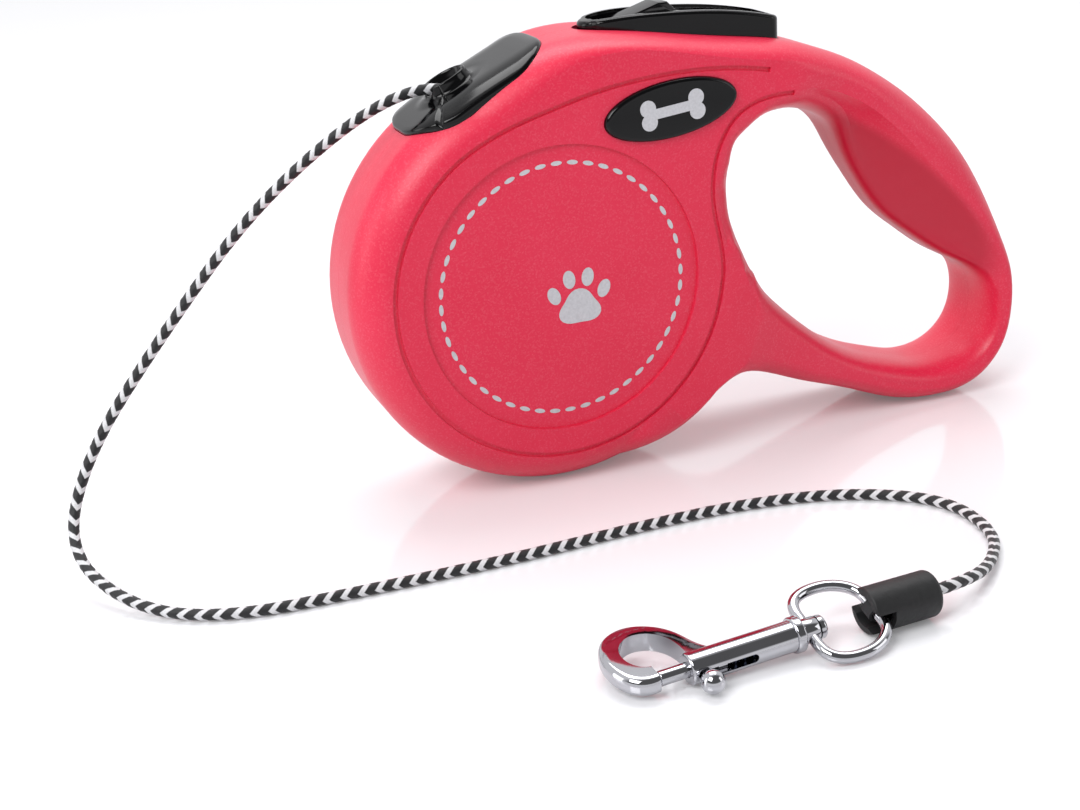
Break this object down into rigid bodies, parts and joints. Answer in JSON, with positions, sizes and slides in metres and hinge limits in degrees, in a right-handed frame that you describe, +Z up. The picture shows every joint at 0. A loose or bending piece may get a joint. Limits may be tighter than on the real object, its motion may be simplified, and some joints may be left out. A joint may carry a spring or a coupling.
{
  "type": "retractable leash",
  "caption": "Retractable cord leash: round reel casing with a hand loop, thumb brake with lock slider, cord outlet, and a cord ending in a sleeve, swivel ring and bolt snap.",
  "frame": {"origin": "under the middle of the casing and hand loop, on the surface it stands on", "axes": "+X from the reel casing towards the hand loop's end, +Y from the front face to the back face, +Z up"},
  "size_m": [0.1936, 0.1101, 0.0862],
  "materials": {
    "casing": "fine metallic sparkle, smooth",
    "badge": "high gloss",
    "black_gloss": "high gloss",
    "reel_plastic": "matt",
    "axle_plastic": "matt",
    "cord": "braided, with pale chevrons",
    "rubber": "matt",
    "chrome": "polished",
    "steel": "plain",
    "spring_steel": "blued"
  },
  "bodies": {
    "housing": {"casing_front": "casing", "casing_back": "casing", "casing_screw_1": "steel", "casing_screw_2": "steel", "casing_screw_3": "steel", "casing_screw_4": "steel", "casing_screw_5": "steel", "casing_screw_6": "steel", "casing_screw_7": "steel", "oval_badge": "badge", "cord_outlet": "black_gloss", "button_pivot_pin": "steel", "button_spring": "spring_steel", "mainspring": "spring_steel", "axle": "axle_plastic", "reel_washer_front": "axle_plastic", "reel_washer_back": "axle_plastic", "leash_cord": "cord", "end_sleeve": "rubber", "cord_crimp": "steel", "cord_loop": "cord"},
    "brake": {"brake_button": "black_gloss", "brake_pawl": "steel"},
    "lock": {"brake_lock": "black_gloss"},
    "reel": {"reel": "reel_plastic", "reel_cover": "reel_plastic", "cord_winding": "cord"},
    "ring": {"swivel_ring": "chrome"},
    "snap": {"snap_body": "chrome", "swivel_rivet": "chrome", "snap_spring": "spring_steel"},
    "bolt": {"snap_bolt": "chrome"}
  },
  "joints": [
    {"name": "brake_press", "type": "hinge", "parent": "housing", "child": "brake", "pos_m": [0.0132, 0, 0.0752], "axis": [0, -1, 0], "range_deg": [0, 5.5], "stiffness_Nm_per_rad": 1, "springref_deg": -5.73},
    {"name": "lock_slide", "type": "slide", "parent": "brake", "child": "lock", "axis": [-1, 0, 0], "range_m": [0, 0.004]},
    {"name": "reel_spin", "type": "hinge", "parent": "housing", "child": "reel", "pos_m": [-0.0308, 0, 0.0387], "axis": [0, 1, 0], "continuous": true},
    {"name": "ring_swing", "type": "hinge", "parent": "housing", "child": "ring", "pos_m": [-0.01067, -0.08835, 0.004], "axis": [0.0653, -0.9344, -0.3502], "range_deg": [-25, 15]},
    {"name": "snap_swivel", "type": "hinge", "parent": "ring", "child": "snap", "pos_m": [-0.02265, -0.08901, 0.00351], "axis": [-0.9977, -0.0545, -0.0409], "continuous": true},
    {"name": "bolt_slide", "type": "slide", "parent": "snap", "child": "bolt", "axis": [0.9977, 0.0545, 0.0409], "range_m": [0, 0.006], "stiffness_N_per_m": 400, "springref_m": -0.004, "deforming": ["snap_spring"]}
  ]
}
